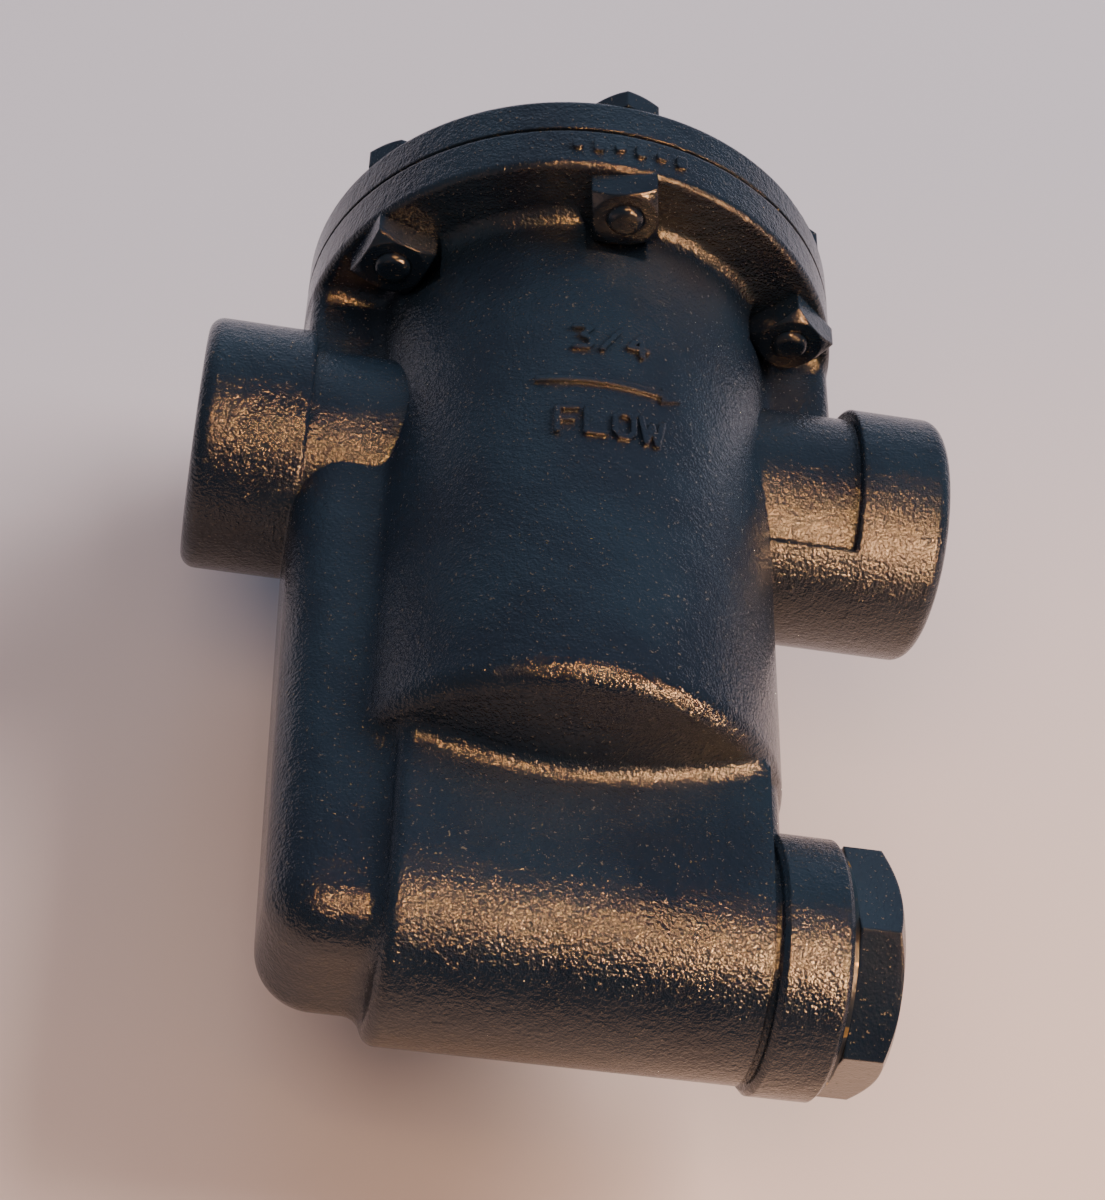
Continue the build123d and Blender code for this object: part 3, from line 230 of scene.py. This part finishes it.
def plug_thread(g):
    """Thread of the strainer plug, behind its hexagon and inside its gasket."""
    mask, ridges = thread(g, gasket_radius, hexagon_face.z, plug_pitch)
    hexagon = g.axis("X").step(hexagon_face.x - 2 * sharp_fade, hexagon_face.x - sharp_fade)
    return mask * (1.0 - hexagon), ridges


def turned_faces(g):
    """Outlet boss and strainer collar."""
    x, z = g.axis("X"), g.axis("Z")
    below = 1.0 - z.step(collar_top - turned_fade, collar_top + turned_fade)
    collar = x.step(collar_back, collar_back + turned_fade) * below
    return collar.maths("MAXIMUM", x.step(boss_back, boss_back + turned_fade))


def drawn_metal(name, tone, scale, stretch, rough):
    """Plain metal with fine drawn scratches."""
    g = Graph(name)
    scratches = g.noise(scale, 3.0, stretch)
    stains = g.noise(90, 3.0)
    dark = tuple(0.55 * c for c in tone)
    return g.finish(Base_Color=g.colours(rgb(*dark), rgb(*tone), stains.step(0.3, 0.6)), Metallic=1.0,
                    Roughness=rough + 0.2 * scratches, Normal=g.bump(scratches, 0.00004))


def daubed_brass(name):
    """Brass sheet with enamel over most of its edge."""
    g = Graph(name)
    bare = g.noise(150, 3.0).step(0.58, 0.62)
    return g.finish(Base_Color=g.colours(rgb(0.008, 0.018, 0.028), rgb(0.46, 0.31, 0.12), bare),
                    Metallic=bare, Roughness=0.3, Normal=g.bump(g.noise(1200), 0.00005))


def fibre(name, dark, pale):
    """Pressed fibre sheet."""
    g = Graph(name)
    specks = g.noise(1500, 3.0)
    return g.finish(Base_Color=g.colours(rgb(*dark), rgb(*pale), specks.step(0.4, 0.7)),
                    Roughness=0.75 + 0.15 * specks, Normal=g.bump(specks, 0.00005))


casting = {"cast_depth": 0.00023, "peel_depth": 0.00005, "smooth": 0.09, "wear": 1.0}
machined = {"cast_depth": 0.00007, "peel_depth": 0.00003, "smooth": 0.10, "wear": 1.4}
hexagon_bar = {"cast_depth": 0.00005, "peel_depth": 0.00002, "smooth": 0.08, "wear": 2.0}

finishes = {
    "enamel": enamel("cast enamel", **casting),
    "enamel_steel": enamel("smooth enamel", **machined),
    "stainless": drawn_metal("stainless steel", tone=(0.56, 0.55, 0.53), scale=700,
                             stretch=(1, 1, 0.08), rough=0.22),
    "screen": drawn_metal("screen steel", tone=(0.48, 0.47, 0.45), scale=900,
                          stretch=(0.1, 1, 1), rough=0.3),
    "brass": drawn_metal("brass", tone=(0.46, 0.31, 0.10), scale=800,
                         stretch=(1, 0.2, 0.2), rough=0.28),
    "gasket": fibre("gasket fibre", dark=(0.012, 0.014, 0.016), pale=(0.035, 0.035, 0.035)),
}
own_finish = {
    "trap_body": enamel("body enamel", **casting, bare=port_threads, lathe=turned_faces),
    "strainer_plug": enamel("plug enamel", **hexagon_bar, bare=plug_thread),
    "plug_gasket": daubed_brass("daubed brass"),
}

for part in frame["record"]["subparts"]:
    piece = frame["nodes"][part["node"]]
    piece.data.materials.clear()
    piece.data.materials.append(own_finish.get(part["node"], finishes[part["material_slot"]]))


# ---------------------------------------------------------------- stage
def table_finish():
    """Pale matt table with painted light on it: painted cool skylight toward its top and a painted warm pool of
    lamp light toward its foot and the outlet side; clear from behind.
    """
    g = Graph("pale table")
    grain = g.noise(400, 3.0)
    # painted light: the colour runs from painted cool skylight at the top to a painted warm pool of lamp light
    # toward the foot and the outlet side
    painted_warm_light = (0.10 - g.axis("Z") + 0.4 * g.axis("X")).step(-0.02, 0.36)
    board = g.finish(Base_Color=g.colours(rgb(0.47, 0.46, 0.51), rgb(0.84, 0.61, 0.48), painted_warm_light),
                     Roughness=0.42 + 0.1 * grain, Normal=g.bump(grain, 0.00002))
    behind = g.node("ShaderNodeNewGeometry", out="Backfacing")
    clear = g.node("ShaderNodeBsdfTransparent")
    front = Socket(g, g.shader.outputs[0])
    one_sided = g.node("ShaderNodeMixShader", None, {0: behind, 1: front, 2: clear})
    g.feed(g.nodes["Material Output"].inputs["Surface"], one_sided)
    return board


def table():
    """The table top behind the trap, facing the front."""
    centre = Vector((chamber_middle.x, cad_high[1] + table_gap, chamber_middle.z))
    shape = bmesh.new()
    bmesh.ops.create_grid(shape, x_segments=1, y_segments=1, size=table_half,
                          matrix=Matrix.Translation(centre) @ Matrix.Rotation(pi / 2, 4, "X"))
    mesh = bpy.data.meshes.new("table")
    shape.to_mesh(mesh)
    shape.free()
    mesh.materials.append(table_finish())
    top = bpy.data.objects.new("table", mesh)
    bpy.context.scene.collection.objects.link(top)


table()


# ---------------------------------------------------------------- light
def area_light(name, target, toward_right, upward, distance, size, power, colour, lights, glints):
    """A square light seen from target at that many degrees to the right of the front and above level.

    lights says that it falls on matt surfaces, glints that it shows in glossy ones."""
    turn, rise = radians(toward_right), radians(upward)
    direction = Vector((sin(turn) * cos(rise), -cos(turn) * cos(rise), sin(rise)))
    lamp = bpy.data.lights.new(name, "AREA")
    lamp.size = size
    lamp.energy = power
    lamp.color = colour
    holder = bpy.data.objects.new(name, lamp)
    holder.matrix_world = Matrix.LocRotScale(
        target + direction * distance, direction.to_track_quat("Z", "Y"), None)
    holder.visible_camera = False
    holder.visible_diffuse = lights
    holder.visible_glossy = glints
    bpy.context.scene.collection.objects.link(holder)
    return holder


area_light("golden lamp", housing_front, toward_right=4, upward=-15, distance=0.62, size=0.052,
           power=4.6, colour=(1.0, 0.47, 0.15), lights=False, glints=True)
area_light("side lamp", boss_front, toward_right=34, upward=-52, distance=0.22, size=0.028,
           power=1.15, colour=(1.0, 0.52, 0.22), lights=False, glints=True)
area_light("ceiling", chamber_middle, toward_right=0, upward=78, distance=1.2, size=0.9,
           power=0.8, colour=(0.66, 0.80, 1.0), lights=False, glints=True)
area_light("window", chamber_middle, toward_right=44, upward=18, distance=2.2, size=1.4,
           power=96.0, colour=(1.0, 0.87, 0.82), lights=True, glints=False)
area_light("sky", chamber_middle, toward_right=-30, upward=50, distance=1.6, size=1.4,
           power=8.0, colour=(0.66, 0.76, 1.0), lights=True, glints=False)
area_light("low light", chamber_middle, toward_right=-16, upward=-22, distance=1.3, size=0.8,
           power=10.5, colour=(1.0, 0.72, 0.54), lights=True, glints=False)

# the table stands between this light and the trap, so it passes through everything but the trap
trap_only = bpy.data.collections.new("trap only")
for piece in frame["nodes"].values():
    trap_only.objects.link(piece)
back_light = area_light("back light", chamber_middle, toward_right=-150, upward=38, distance=1.4,
                        size=1.2, power=30.0, colour=(0.90, 0.94, 1.0), lights=True, glints=False)
back_light.light_linking.receiver_collection = trap_only
back_light.light_linking.blocker_collection = trap_only

world = bpy.data.worlds.new("soft room")
world.use_nodes = True
background = world.node_tree.nodes["Background"]
background.inputs["Color"].default_value = rgb(0.74, 0.80, 1.0)
background.inputs["Strength"].default_value = 0.16
bpy.context.scene.world = world


# ---------------------------------------------------------------- camera
def look(place, turn, rise, roll, lens):
    """A camera at place, looking turn degrees right of straight back and rise degrees up, rolled by roll."""
    turn, rise, roll = radians(turn), radians(rise), radians(roll)
    ahead = Vector((sin(turn) * cos(rise), cos(turn) * cos(rise), sin(rise)))
    right = Vector((cos(turn), -sin(turn), 0.0))
    up = right.cross(ahead)
    across = cos(roll) * right + sin(roll) * up
    above = -sin(roll) * right + cos(roll) * up
    view = bpy.data.cameras.new("camera")
    view.lens = lens
    view.sensor_width = 36.0
    view.clip_start = 0.01
    camera = bpy.data.objects.new("camera", view)
    camera.matrix_world = Matrix((
        (across.x, above.x, -ahead.x, place[0]),
        (across.y, above.y, -ahead.y, place[1]),
        (across.z, above.z, -ahead.z, place[2]),
        (0, 0, 0, 1)))
    bpy.context.scene.collection.objects.link(camera)
    bpy.context.scene.camera = camera


look(place=(0.0100, -0.3102, -0.2827), turn=9.558, rise=39.398, roll=1.538, lens=73.24)
